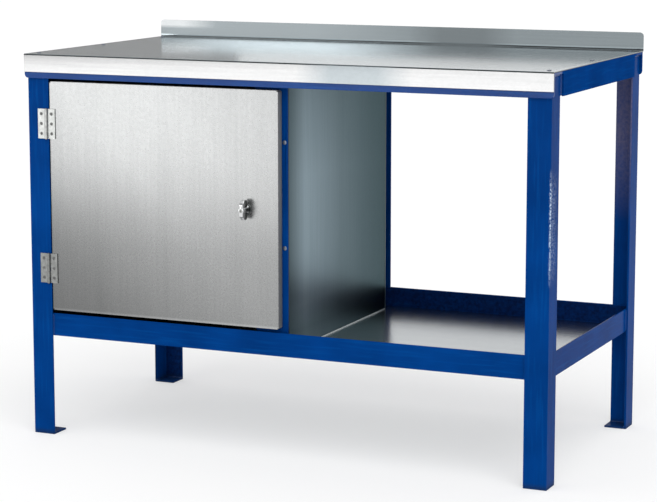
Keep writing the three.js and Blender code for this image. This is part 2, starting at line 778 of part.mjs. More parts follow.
function buildWing() {
  const tall = WING_HEIGHT / 2;
  const nose = WING_NOSE_HEIGHT / 2;
  const hub = turnedY([
    [0, wingShoulder],
    [hubNeckRadius, wingShoulder],
    [hubNeckRadius, hubFront],
    [hubNeckRadius + HUB_FLARE, hubBack],
    [SPINDLE_RADIUS, hubBack],
    [SPINDLE_RADIUS, camFront - FIT],
    [0, camFront - FIT],
  ], lockX, lockZ, ROUND_FACETS);
  const grip = alongX([
    [hubFront, lockZ - hubNeckRadius],
    [wingShoulder, lockZ - tall],
    [wingRim, lockZ - tall],
    [wingFront, lockZ - nose],
    [wingFront, lockZ + nose],
    [wingRim, lockZ + tall],
    [wingShoulder, lockZ + tall],
    [hubFront, lockZ + hubNeckRadius],
  ], lockX - wingHalfWidth, lockX + wingHalfWidth);
  const square = alongY(squareAround(spindleSquare), camFront - 2 * FIT, camBack - FIT);
  const plugBore = rodY(plugHole, plugFront - CUT_REACH, plugBack + FIT, lockX, lockZ, ROUND_FACETS);
  const screwBore = rodY(camScrewHole, camBack - CAM_SCREW_LENGTH, camBack, lockX, lockZ);
  addPiece('lock_wing', cutAll(joinAll([hub, grip, square]), [plugBore, screwBore]), 'chrome');
}

function buildPlug() {
  const plug = rodY(PLUG_RADIUS, plugFront, plugBack, lockX, lockZ, ROUND_FACETS);
  const keyway = box(
    lockX - KEYWAY_WIDTH / 2,
    lockX + KEYWAY_WIDTH / 2,
    plugFront - CUT_REACH,
    plugFront + KEYWAY_DEPTH,
    lockZ - KEYWAY_HEIGHT / 2,
    lockZ + KEYWAY_HEIGHT / 2,
  );
  addPiece('lock_plug', plug.subtract(keyway), 'zinc');
}

function buildCam() {
  const tip = lockZ - CAM_LENGTH;
  const half = CAM_TIP_WIDTH / 2;
  const outline = [
    ...arc(lockX, lockZ, camHubRadius, 0, Math.PI),
    [lockX - half, lockZ - camHubRadius],
    [lockX - half, tip],
    [lockX + half, tip],
    [lockX + half, lockZ - camHubRadius],
  ];
  const cam = alongY(outline, camFront, camBack, squareAround(camSquareHole));
  addPiece('lock_cam', cam, 'zinc');

  const seat = camBack + FIT;
  const screw = turnedY([
    [0, camBack - CAM_SCREW_LENGTH + FIT],
    [CAM_SCREW_RADIUS, camBack - CAM_SCREW_LENGTH + FIT],
    [CAM_SCREW_RADIUS, seat],
    [CAM_SCREW_HEAD_RADIUS, seat],
    [CAM_SCREW_HEAD_RADIUS, seat + CAM_SCREW_HEAD / 2],
    [CAM_SCREW_HEAD_RADIUS / 2, seat + CAM_SCREW_HEAD],
    [0, seat + CAM_SCREW_HEAD],
  ], lockX, lockZ, SMALL_FACETS);
  addPiece('lock_cam_screw', screw, 'zinc');
}

buildLegs();
buildLowerRails();
buildShelf();
buildTopRails();
buildBearers();
buildWorktop();
buildTopRivets();
buildPosts();
buildPostRivets();
buildPanels();
buildDoor();
buildHinges();
buildLockBody();
buildWing();
buildPlug();
buildCam();

export default bench;
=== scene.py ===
import json
import math

import bmesh
import bpy
from mathutils import Matrix, Vector


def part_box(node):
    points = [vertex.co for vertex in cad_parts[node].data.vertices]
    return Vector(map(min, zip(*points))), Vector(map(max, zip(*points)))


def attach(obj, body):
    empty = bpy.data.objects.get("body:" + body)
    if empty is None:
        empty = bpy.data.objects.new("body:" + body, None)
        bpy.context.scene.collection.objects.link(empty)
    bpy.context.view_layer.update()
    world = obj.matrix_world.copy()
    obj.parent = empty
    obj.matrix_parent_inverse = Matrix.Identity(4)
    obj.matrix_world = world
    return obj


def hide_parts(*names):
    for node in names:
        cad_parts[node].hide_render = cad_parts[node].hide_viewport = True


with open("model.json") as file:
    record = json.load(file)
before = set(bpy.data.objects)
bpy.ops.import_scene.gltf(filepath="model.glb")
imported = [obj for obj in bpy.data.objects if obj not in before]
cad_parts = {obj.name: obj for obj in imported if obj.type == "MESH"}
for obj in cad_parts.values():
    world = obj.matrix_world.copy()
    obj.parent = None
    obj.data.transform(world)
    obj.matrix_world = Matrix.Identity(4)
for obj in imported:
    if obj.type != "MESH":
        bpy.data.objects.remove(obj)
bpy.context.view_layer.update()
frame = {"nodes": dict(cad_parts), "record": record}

nodes = frame["nodes"]
scene = bpy.context.scene
MM = 0.001
X, Y, Z = range(3)
ALONG_Y = (0, 1, 0)
ALONG_Z = (0, 0, 1)
TO_FRONT = (0, -1, 0)
RISING_RIGHT = (1, 0, 1)

# Photograph frame and the camera that matches it
IMAGE_WIDTH = 657
IMAGE_HEIGHT = 502
FOCAL_PIXELS = 2199.4
AXIS_PIXEL_Y = 215.0
CAMERA_PLACE = (1.9356, -4.3726, 1.1912)
CAMERA_YAW = math.radians(24.024)
CAMERA_PITCH = math.radians(8.427)
SENSOR_MM = 36.0

# Edge radii of the CAD pieces in millimetres, by the start of their names
EDGE_RADIUS = {
    "leg": 0.7, "foot": 0.7, "lower": 0.7, "top": 0.7, "door_post": 0.7, "rear": 0.7,
    "worktop_sheet": 0.35, "shelf": 0.35, "cupboard": 0.3, "door_tray": 0.6,
    "hinge": 0.2, "lock": 0.3,
}
EDGE_SEGMENTS = 3
SMOOTH_ANGLE = math.radians(42)
BEVEL_ANGLE = math.radians(48)
MERGE_DISTANCE = 0.00001


def make_camera():
    data = bpy.data.cameras.new("photo_camera")
    data.sensor_width = SENSOR_MM
    data.lens = FOCAL_PIXELS / IMAGE_WIDTH * SENSOR_MM
    data.shift_y = -(IMAGE_HEIGHT / 2 - AXIS_PIXEL_Y) / IMAGE_WIDTH
    camera = bpy.data.objects.new("photo_camera", data)
    camera.location = CAMERA_PLACE
    camera.rotation_euler = (math.pi / 2 - CAMERA_PITCH, 0, CAMERA_YAW)
    scene.collection.objects.link(camera)
    scene.camera = camera


# Light: a pale world, one soft sun, two softboxes and a grey card that the worktop mirrors. The world's
# levels run from straight down over the horizon at 0.5 to straight up.
WORLD_RAMP = ((0.0, 0.5), (0.5, 1.0), (0.62, 0.95), (0.8, 0.76), (1.0, 0.8))
SUN_STRENGTH = 1.25
SUN_ANGLE = math.radians(50)
SUN_TURN = (math.radians(38), 0, math.radians(30))
SOFTBOXES = (
    # name, place, aimed at, width, height, power
    ("front_softbox", (-1.75, -4.0, 0.33), (-0.2, -0.3, 0.5), 3.5, 0.62, 15.5),
    ("left_softbox", (-2.02, -3.40, 1.89), (-0.1, 0.3, 0.85), 0.8, 0.7, 5.0),
)
CARD_PLACE = (-4.9, 4.2, 1.75)
CARD_TARGET = (-0.3, 0.0, 0.84)
CARD_SIZE = (5.0, 2.0)
CARD_COLOUR = (0.33, 0.33, 0.33, 1)
FLOOR_RADIUS = 40
FLOOR_SIDES = 64
FLOOR_GAP = 0.0003
FLOOR_COLOUR = (0.95, 0.95, 0.95, 1)
FLOOR_WHITE_SHARE = 0.45
MATT_ROUGHNESS = 0.9


def make_world():
    world = bpy.data.worlds.new("studio")
    scene.world = world
    world.use_nodes = True
    tree = world.node_tree
    background = tree.nodes["Background"]
    place = tree.nodes.new("ShaderNodeTexCoord")
    split = tree.nodes.new("ShaderNodeSeparateXYZ")
    height = tree.nodes.new("ShaderNodeMapRange")
    height.inputs["From Min"].default_value = -1
    ramp = tree.nodes.new("ShaderNodeValToRGB")
    fill_ramp(ramp, WORLD_RAMP)
    tree.links.new(place.outputs["Generated"], split.inputs[0])
    tree.links.new(split.outputs["Z"], height.inputs["Value"])
    tree.links.new(height.outputs[0], ramp.inputs[0])
    tree.links.new(ramp.outputs[0], background.inputs["Color"])


def fill_ramp(ramp, stops):
    """Puts grey levels or colours at the ramp's stops."""
    elements = ramp.color_ramp.elements
    while len(elements) < len(stops):
        elements.new(0.5)
    for element, (position, level) in zip(elements, stops):
        element.position = position
        element.color = (*level, 1) if isinstance(level, tuple) else (level, level, level, 1)


def make_lights():
    sun = bpy.data.lights.new("soft_sun", "SUN")
    sun.energy = SUN_STRENGTH
    sun.angle = SUN_ANGLE
    lamp = bpy.data.objects.new("soft_sun", sun)
    lamp.rotation_euler = SUN_TURN
    scene.collection.objects.link(lamp)
    for name, place, target, width, height, power in SOFTBOXES:
        data = bpy.data.lights.new(name, "AREA")
        data.shape = "RECTANGLE"
        data.size = width
        data.size_y = height
        data.energy = power
        box = bpy.data.objects.new(name, data)
        box.location = place
        box.rotation_euler = (Vector(target) - Vector(place)).to_track_quat("-Z", "Y").to_euler()
        box.visible_camera = False
        scene.collection.objects.link(box)


def make_card():
    """Grey card behind on the left, unseen by the camera, that keeps the worktop's left end dark."""
    bm = bmesh.new()
    # A square of one metre, which the scale turns into the card
    bmesh.ops.create_grid(bm, x_segments=1, y_segments=1, size=0.5)
    card = mesh_object("grey_card", bm)
    card.location = CARD_PLACE
    card.rotation_euler = (Vector(CARD_TARGET) - Vector(CARD_PLACE)).to_track_quat("Z", "Y").to_euler()
    card.scale = (*CARD_SIZE, 1)
    card.visible_camera = False
    card.visible_diffuse = False
    card.visible_shadow = False
    card.data.materials.append(matt_material("grey_card", CARD_COLOUR))


def mesh_object(name, bm):
    """Turns a bmesh into an object of the scene."""
    mesh = bpy.data.meshes.new(name)
    bm.to_mesh(mesh)
    bm.free()
    made = bpy.data.objects.new(name, mesh)
    scene.collection.objects.link(made)
    return made


def matt_material(name, colour):
    material = bpy.data.materials.new(name)
    material.use_nodes = True
    shader = material.node_tree.nodes["Principled BSDF"]
    shader.inputs["Base Color"].default_value = colour
    shader.inputs["Roughness"].default_value = MATT_ROUGHNESS
    shader.inputs["Specular IOR Level"].default_value = 0.0
    return material


def make_floor():
    bm = bmesh.new()
    bmesh.ops.create_circle(bm, cap_ends=True, segments=FLOOR_SIDES, radius=FLOOR_RADIUS)
    floor = mesh_object("floor", bm)
    floor.location.z = -FLOOR_GAP
    material = matt_material("pale_floor", FLOOR_COLOUR)
    whiten(material.node_tree)
    floor.data.materials.append(material)


def whiten(tree):
    """Shows the floor partly as plain white to the camera and in reflections, for a soft shadow."""
    path = tree.nodes.new("ShaderNodeLightPath")
    share = None
    for ray in ("Is Camera Ray", "Is Glossy Ray", "Is Transmission Ray"):
        node = tree.nodes.new("ShaderNodeMath")
        node.operation = "MULTIPLY_ADD"
        node.inputs[1].default_value = FLOOR_WHITE_SHARE
        node.inputs[2].default_value = 0.0
        tree.links.new(path.outputs[ray], node.inputs[0])
        if share:
            tree.links.new(share, node.inputs[2])
        share = node.outputs[0]
    white = tree.nodes.new("ShaderNodeEmission")
    mix = tree.nodes.new("ShaderNodeMixShader")
    tree.links.new(share, mix.inputs[0])
    tree.links.new(tree.nodes["Principled BSDF"].outputs[0], mix.inputs[1])
    tree.links.new(white.outputs[0], mix.inputs[2])
    tree.links.new(mix.outputs[0], tree.nodes["Material Output"].inputs["Surface"])


# Materials. Most of a noise lies between these two values.
NOISE_LOW = 0.3
NOISE_HIGH = 0.7


class Finish:
    """A material with a Principled shader and short ways to add texture nodes."""

    def __init__(self, name):
        self.material = bpy.data.materials.new(name)
        self.material.use_nodes = True
        self.tree = self.material.node_tree
        self.shader = self.tree.nodes["Principled BSDF"]
        coordinates = self.tree.nodes.new("ShaderNodeTexCoord")
        self.place = coordinates.outputs["Object"]
        self.facing = coordinates.outputs["Normal"]

    def link(self, source, target):
        self.tree.links.new(source, target)

    def set(self, **values):
        for key, value in values.items():
            self.shader.inputs[key.replace("_", " ")].default_value = value

    def stretched(self, scale):
        mapping = self.tree.nodes.new("ShaderNodeMapping")
        mapping.inputs["Scale"].default_value = scale
        self.link(self.place, mapping.inputs["Vector"])
        return mapping.outputs[0]

    def noise(self, scale, detail=2.0, place=None):
        node = self.tree.nodes.new("ShaderNodeTexNoise")
        node.inputs["Scale"].default_value = scale
        node.inputs["Detail"].default_value = detail
        self.link(place or self.place, node.inputs["Vector"])
        return node.outputs["Fac"]

    def cells(self, scale):
        node = self.tree.nodes.new("ShaderNodeTexVoronoi")
        node.inputs["Scale"].default_value = scale
        self.link(self.place, node.inputs["Vector"])
        grey = self.tree.nodes.new("ShaderNodeRGBToBW")
        self.link(node.outputs["Color"], grey.inputs[0])
        return grey.outputs[0]

    def along(self, direction):
        """Distance of a point along a direction, from the origin."""
        node = self.tree.nodes.new("ShaderNodeVectorMath")
        node.operation = "DOT_PRODUCT"
        node.inputs[1].default_value = direction
        self.link(self.place, node.inputs[0])
        return node.outputs["Value"]

    def part_of(self, vector, axis):
        node = self.tree.nodes.new("ShaderNodeSeparateXYZ")
        self.link(vector, node.inputs[0])
        return node.outputs[axis]

    def offset(self, axis, middle):
        """Distance from a plane across one axis."""
        return self.math("ABSOLUTE", self.math("SUBTRACT", self.part_of(self.place, axis), middle), 0.0)

    def spread(self, value, low, high, start=NOISE_LOW, end=NOISE_HIGH):
        """Maps a value from start..end to low..high."""
        node = self.tree.nodes.new("ShaderNodeMapRange")
        node.inputs["From Min"].default_value = start
        node.inputs["From Max"].default_value = end
        node.inputs["To Min"].default_value = low
        node.inputs["To Max"].default_value = high
        self.link(value, node.inputs["Value"])
        return node.outputs[0]

    def math(self, operation, a, b):
        node = self.tree.nodes.new("ShaderNodeMath")
        node.operation = operation
        for socket, value in zip(node.inputs, (a, b)):
            if isinstance(value, (int, float)):
                socket.default_value = value
            else:
                self.link(value, socket)
        return node.outputs[0]

    def mixer(self):
        """Node that mixes colours, with its two colour inputs and its colour output."""
        node = self.tree.nodes.new("ShaderNodeMix")
        node.data_type = "RGBA"
        inputs = [socket for socket in node.inputs if socket.type == "RGBA"]
        outputs = [socket for socket in node.outputs if socket.type == "RGBA"]
        return node, inputs, outputs[0]

    def blend(self, factor, colour_a, colour_b):
        node, inputs, output = self.mixer()
        self.link(factor, node.inputs["Factor"])
        for socket, value in zip(inputs, (colour_a, colour_b)):
            if isinstance(value, tuple):
                socket.default_value = (*value, 1)
            else:
                self.link(value, socket)
        return output

    def toned(self, colour, tone):
        """Multiplies a colour by the levels of a ramp from start to end along a direction."""
        direction, start, end, stops = tone
        ramp = self.tree.nodes.new("ShaderNodeValToRGB")
        fill_ramp(ramp, stops)
        self.link(self.spread(self.along(direction), 0, 1, start, end), ramp.inputs[0])
        node, inputs, output = self.mixer()
        node.blend_type = "MULTIPLY"
        node.inputs["Factor"].default_value = 1.0
        self.link(colour, inputs[0])
        self.link(ramp.outputs[0], inputs[1])
        return output

    def colour(self, source):
        self.link(source, self.shader.inputs["Base Color"])

    def roughness(self, source):
        self.link(source, self.shader.inputs["Roughness"])

    def bump(self, height, distance, before=None):
        node = self.tree.nodes.new("ShaderNodeBump")
        node.inputs["Distance"].default_value = distance
        self.link(height, node.inputs["Height"])
        if before:
            self.link(before, node.inputs["Normal"])
        self.link(node.outputs[0], self.shader.inputs["Normal"])
        return node.outputs[0]


# Blue paint: gloss of the pieces, textures and colours
PAINT_GLOSS = 0.008
FRONT_GLOSS = 0.16
RAIL_GLOSS = 0.0002
WELD_GLOSS = 0.30
PAINT_RUNS_DOWN = (170, 170, 9)
PAINT_RUNS_BACK = (170, 9, 170)
PAINT_RUNS_ACROSS = (9, 170, 170)
PAINT_CLOUD_SCALE = 9
PAINT_GRAIN_SCALE = 420
PAINT_PATCH_SCALE = 160
PAINT_DARK = (0.0004, 0.029, 0.150)
PAINT_LIGHT = (0.0006, 0.041, 0.205)
# Lighter colour of the runs, partly real runs and partly painted sheen streaks
RUN_SHEEN = (0.001, 0.068, 0.28)
RUN_SHEEN_SHARE = 0.4
RUN_SHEEN_RANGE = (0.5, 0.72)
PAINT_ROUGHNESS = (0.12, 0.22)
PEEL_DEPTH = 0.00012
RUN_DEPTH = 0.00010
# Share of painted light on the faces that look to the front
PAINTED_LIGHT_SHARE = 0.9
PATCH_SHARES = (1, 0.55)
# Darker colour towards the floor: colour, its share and the heights over which it fades out
FOOT_DARKENING = (0.012, 0.026, 0.060)
FOOT_DARKENING_SHARE = 0.6
FOOT_DARKENING_HEIGHTS = (0.003, 0.013)
# Colour of the painted glints on a heel edge
GLINT_COLOUR = (0.50, 0.62, 0.76)


def blue_paint(name, glint_heel=None, gloss=PAINT_GLOSS, run_scale=PAINT_RUNS_DOWN, painted_light=None):
    """Paint with a slight orange peel, faint runs partly lightened as painted sheen, darker towards the
    floor.

    A heel edge, when given, gets a painted glint line and specks. Painted light changes the colour on
    the faces that look to the front, more and more between two heights: painted reflection on one leg,
    painted shade on the rear pieces.
    """
    finish = Finish(name)
    cloud = finish.noise(PAINT_CLOUD_SCALE, detail=4)
    runs = finish.noise(1, detail=3, place=finish.stretched(run_scale))
    grain = finish.noise(PAINT_GRAIN_SCALE)
    body = finish.blend(finish.spread(cloud, 0, 1), PAINT_DARK, PAINT_LIGHT)
    # Runs lightened in colour, partly as painted sheen streaks
    body = finish.blend(finish.spread(runs, 0, RUN_SHEEN_SHARE, *RUN_SHEEN_RANGE), body, RUN_SHEEN)
    level = finish.part_of(finish.place, Z)
    # Painted light on the faces that look to the front: painted reflection on one leg, painted shade on
    # the rear pieces
    if painted_light:
        colour, start, end = painted_light
        risen = finish.spread(level, 0, PAINTED_LIGHT_SHARE, start, end)
        patches = finish.spread(finish.noise(PAINT_PATCH_SCALE, detail=3), *PATCH_SHARES)
        painted = finish.math("MULTIPLY", risen, looks_to_front(finish))
        body = finish.blend(finish.math("MULTIPLY", painted, patches), body, colour)
    # Darker towards the floor
    body = finish.blend(finish.spread(level, FOOT_DARKENING_SHARE, 0, *FOOT_DARKENING_HEIGHTS), body, FOOT_DARKENING)
    if glint_heel:
        # Painted glints: a painted highlight line and specks on the heel edge
        body = finish.blend(heel_glints(finish, glint_heel), body, GLINT_COLOUR)
    finish.colour(body)
    finish.roughness(finish.spread(grain, *PAINT_ROUGHNESS))
    finish.set(Specular_IOR_Level=gloss)
    peel = finish.bump(grain, PEEL_DEPTH)
    finish.bump(runs, RUN_DEPTH, peel)
    return finish.material


# Painted glints on a heel edge: the grain of its specks and how far the glint line and the specks reach
# from the edge
HEEL_GRAIN_SCALE = 430
ACROSS_WEIGHT = 3.0
LINE_REACH = (0.003, 0.007)
LINE_GRAIN = (0.44, 0.56)
SPECK_WEIGHT = 0.3
SPECK_SHARE = 0.4
SPECK_REACH = (0.006, 0.013)
SPECK_GRAIN = (0.55, 0.60)
GLINT_CORE = 0.3


def heel_glints(finish, heel):
    """Painted glint line on the upright edge at (x, y) and sparse glinting specks beside it, between
    two heights.
    """
    x, y, low, high = heel
    across = finish.math("MULTIPLY", finish.offset(X, x), ACROSS_WEIGHT)
    along = finish.offset(Y, y)
    grain = finish.noise(HEEL_GRAIN_SCALE, detail=1)
    on_edge = finish.spread(finish.math("ADD", across, along), 1, 0, *LINE_REACH)
    line = finish.math("MULTIPLY", on_edge, finish.spread(grain, 0, 1, *LINE_GRAIN))
    away = finish.math("ADD", across, finish.math("MULTIPLY", along, SPECK_WEIGHT))
    beside = finish.spread(away, SPECK_SHARE, 0, *SPECK_REACH)
    specks = finish.math("MULTIPLY", beside, finish.spread(grain, 0, 1, *SPECK_GRAIN))
    level = finish.offset(Z, (low + high) / 2)
    glinting = finish.spread(level, 1, 0, (high - low) * GLINT_CORE, (high - low) / 2)
    return finish.math("MULTIPLY", glinting, finish.math("MAXIMUM", line, specks))


# Galvanised sheet: its textures, the shares of spangle, streaks, bands and cloud in its colour, and its
# relief. A soft band is as wide as BAND_WIDTH fine rolling streaks.
SPANGLE_SCALE = 210
FINE_SCALE = 900
BAND_WIDTH = 14
ZINC_CLOUD_SCALE = 4
TEXTURE_SHARES = (0.05, 0.42, 0.32, 0.21)
MIX_RANGE = (0.36, 0.64)
DULL_CHANGE = 0.01
FOLD_RANGE = (0.2, 0.7)
WAVE_SCALE = 2.2
WAVE_DEPTH = 0.0016
FINE_DEPTH = 0.000015
# Tints of the sheets where they are seen aslant
WHITE = (1, 1, 1, 1)
BLUISH = (0.75, 0.95, 1, 1)


def galvanised(name, light, dark, dullness, streak, dull_folds=0.0, tones=(), patches=(), lean=None,
               edge=WHITE):
    """Zinc coated sheet: fine spangle, rolling streaks and bands, and a little waviness.

    Dull folds are the roughness added on faces that look neither to the front nor to the back. Patches
    are painted reflections that change the colour of faces that look to the front. A lean is a height
    and the slope that the shading has above it.
    """
    finish = Finish(name)
    spangle = finish.cells(SPANGLE_SCALE)
    fine = finish.noise(FINE_SCALE, detail=3)
    streaks = finish.noise(1, detail=3, place=finish.stretched(streak))
    bands = finish.noise(1, place=finish.stretched([scale / BAND_WIDTH for scale in streak]))
    cloud = finish.noise(ZINC_CLOUD_SCALE, detail=3)
    textures = (spangle, streaks, bands, cloud)
    mix = 0.0
    for texture, share in zip(textures, TEXTURE_SHARES):
        mix = finish.math("ADD", finish.math("MULTIPLY", texture, share), mix)
    coat = finish.blend(finish.spread(mix, 0, 1, *MIX_RANGE), dark, light)
    # Tones multiply painted shade and painted highlights into the coat
    for tone in tones:
        coat = finish.toned(coat, tone)
    # Patches: painted reflections on the faces that look to the front
    for colour, middle, reach, strength, lowest in patches:
        coat = finish.blend(front_patch(finish, middle, reach, strength, lowest), coat, colour)
    finish.colour(coat)
    changes = [finish.spread(texture, -DULL_CHANGE, DULL_CHANGE) for texture in (spangle, fine)]
    dull = finish.math("ADD", finish.math("ADD", *changes), dullness)
    if dull_folds:
        across = finish.math("ABSOLUTE", finish.part_of(finish.facing, Y), 0.0)
        dull = finish.math("ADD", dull, finish.spread(across, dull_folds, 0, *FOLD_RANGE))
    finish.roughness(dull)
    finish.set(Metallic=1.0, Specular_Tint=edge)
    relief = finish.bump(finish.noise(WAVE_SCALE, detail=1), WAVE_DEPTH)
    if lean:
        lowest, slope = lean
        rise = finish.math("SUBTRACT", finish.part_of(finish.place, Z), lowest)
        height = finish.math("MULTIPLY", finish.math("MAXIMUM", rise, 0.0), slope)
        relief = finish.bump(height, 1.0, relief)
    finish.bump(fine, FINE_DEPTH, relief)
    return finish.material


# Share of a patch's reach that has its full strength, and the height over which it sets in
PATCH_CORE = 0.4
PATCH_SOFTNESS = 0.008
# The normal's Y of faces that look to the front, from fully to no longer
FRONT_RANGE = (-0.95, -0.6)


def front_patch(finish, middle, reach, strength, lowest):
    """Soft patch about a place along X and above a height, on the faces that look to the front."""
    near = finish.spread(finish.offset(X, middle), strength, 0, reach * PATCH_CORE, reach)
    above = finish.spread(finish.part_of(finish.place, Z), 0, 1, lowest, lowest + PATCH_SOFTNESS)
    return finish.math("MULTIPLY", finish.math("MULTIPLY", near, looks_to_front(finish)), above)


def looks_to_front(finish):
    """1 on the faces that look to the front, 0 on the others."""
    return finish.spread(finish.part_of(finish.facing, Y), 1, 0, *FRONT_RANGE)


# Zinc plate and chrome: textures, colours and roughness
PLATE_CLOUD_SCALE = 130
PLATE_GRAIN_SCALE = 1500
PLATE_ROUGHNESS = (0.26, 0.42)
PLATE_DEPTH = 0.00002
CHROME_MARK_SCALE = 220
CHROME_DARK = (0.62, 0.63, 0.64)
CHROME_LIGHT = (0.76, 0.77, 0.78)
CHROME_ROUGHNESS = (0.07, 0.17)
# Painted shade on the wing's flanks: colour, its shares towards the tip and towards the door, those two
# places along Y, and the normal's X between which a face turns into a flank
FLANK_SHADE = (0.045, 0.05, 0.05)
FLANK_SHARES = (0.25, 1)
FLANK_PLACES = (-0.318, -0.309)
FLANK_RANGE = (0.55, 0.9)


def zinc_plate(name, light, dark, tones=()):
    """Zinc plating with a thin cloudy bloom."""
    finish = Finish(name)
    cloud = finish.noise(PLATE_CLOUD_SCALE, detail=3)
    grain = finish.noise(PLATE_GRAIN_SCALE)
    coat = finish.blend(finish.spread(cloud, 0, 1), dark, light)
    # Tones multiply painted shade into the plating
    for tone in tones:
        coat = finish.toned(coat, tone)
    finish.colour(coat)
    finish.roughness(finish.spread(grain, *PLATE_ROUGHNESS))
    finish.set(Metallic=1.0)
    finish.bump(grain, PLATE_DEPTH)
    return finish.material


def chrome(name, shaded_flanks=False):
    """Polished chrome with faint handling marks; the wing's finger flanks get painted shade, darkest
    towards the door.
    """
    finish = Finish(name)
    marks = finish.noise(CHROME_MARK_SCALE, detail=4)
    shine = finish.blend(finish.spread(marks, 0, 1), CHROME_DARK, CHROME_LIGHT)
    if shaded_flanks:
        # Painted shade on the finger flanks, darkest towards the door
        sideways = finish.math("ABSOLUTE", finish.part_of(finish.facing, X), 0.0)
        behind = finish.spread(finish.part_of(finish.place, Y), *FLANK_SHARES, *FLANK_PLACES)
        flank = finish.math("MULTIPLY", finish.spread(sideways, 0, 1, *FLANK_RANGE), behind)
        shine = finish.blend(flank, shine, FLANK_SHADE)
    finish.colour(shine)
    finish.roughness(finish.spread(marks, *CHROME_ROUGHNESS))
    finish.set(Metallic=1.0)
    return finish.material


# Rolling streaks of upright and lying sheets
UPRIGHT_STREAK = (240, 240, 5)
LYING_STREAK = (5, 240, 240)


def tone_over(node, direction, stops):
    """Tone over a node's whole reach in a direction, with its levels on the way."""
    lo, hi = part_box(node)
    direction = Vector(direction)
    return (direction, direction.dot(lo), direction.dot(hi), stops)


def tone_at(direction, stops):
    """Tone with its levels at distances in millimetres along a direction."""
    start = stops[0][0]
    end = stops[-1][0]
    scaled = [((distance - start) / (end - start), level) for distance, level in stops]
    return (direction, start * MM, end * MM, scaled)


def worktop_tones():
    """Painted shade in the worktop's bends and a painted highlight line over the rear one; the lip is
    tinted warmer and darker and the upstand is dimmed as painted shade.

    Heights are in millimetres: lip, front bend, top face, rear bend, bright line and upstand.
    """
    lip = (0.95, 0.835, 0.795)
    upwards = (
        (801.0, lip), (836.6, lip), (837.2, 0.12), (839.0, 0.12), (839.5, 1.0), (840.4, 1.0),
        (840.9, 0.15), (843.2, 0.15), (844.0, 1.2), (846.0, 1.2), (847.0, 0.8), (880.0, 0.8),
    )
    return (tone_at(ALONG_Z, upwards),)


def bay_tones():
    """Painted shade and reflection on the panel beside the open bay: darker at its front edge, towards
    the rear, at its foot and at its top.
    """
    backwards = ((0.0, 0.3), (0.06, 0.55), (0.16, 1.0), (0.5, 0.48), (0.83, 0.20), (1.0, 0.11))
    upwards = ((0.0, 0.42), (0.06, 0.45), (0.15, 1.0), (0.6, 1.0), (1.0, 0.6))
    panel = "cupboard_panel_right"
    return (tone_over(panel, ALONG_Y, backwards), tone_over(panel, ALONG_Z, upwards))


def door_tones():
    """Painted shade on the door's zinc towards its lower left corner, and a painted highlight along its
    foot bend.
    """
    upwards = (
        (0.0, 1.0), (0.006, 1.0), (0.01, 0.7), (0.3, 0.7), (0.42, 0.76), (0.56, 0.87), (0.7, 0.94),
        (1.0, 1.0),
    )
    aslant = ((0.0, 0.52), (0.15, 0.62), (0.3, 0.8), (0.5, 1.0), (0.72, 0.98), (1.0, 0.81))
    return (tone_over("door_tray", ALONG_Z, upwards), tone_over("door_tray", RISING_RIGHT, aslant))


def hinge_tones():
    """Painted shade: the lower hinge is darker than the upper one."""
    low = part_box("hinge_lower_frame_leaf")[0].z
    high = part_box("hinge_upper_frame_leaf")[1].z
    return ((ALONG_Z, low, high, ((0.0, 0.5), (0.2, 0.5), (0.8, 1.0), (1.0, 1.0))),)


# Painted dark and bright reflections on the worktop's lip and upstand: colour, place along X, reach,
# strength and lowest height
WORKTOP_PAINTED_REFLECTIONS = (
    ((0.19, 0.215, 0.226), 0.175, 0.13, 0.85, 0.0),
    ((0.42, 0.47, 0.49), -0.36, 0.42, 0.75, 0.840),
    ((0.80, 0.83, 0.84), -0.60, 0.15, 0.9, 0.860),
)
# The upstand is shaded as if not bent quite square: height where its lean starts and the slope
UPSTAND_LEAN = (0.846, -0.052)

# Front right leg: place of its heel edge along X and Y, and the heights between which it has painted
# glints
GLINT_HEEL = (0.5947, -0.29385, 0.41, 0.65)

# Painted reflection on the rear right leg and painted shade on the rear pieces, on their faces that
# look to the front: colour and the heights between which it sets in
PAINTED_REFLECTION = ((0.13, 0.125, 0.22), 0.46, 0.64)
PAINTED_SHADE = ((0.003, 0.008, 0.041), -0.1, 0.0)


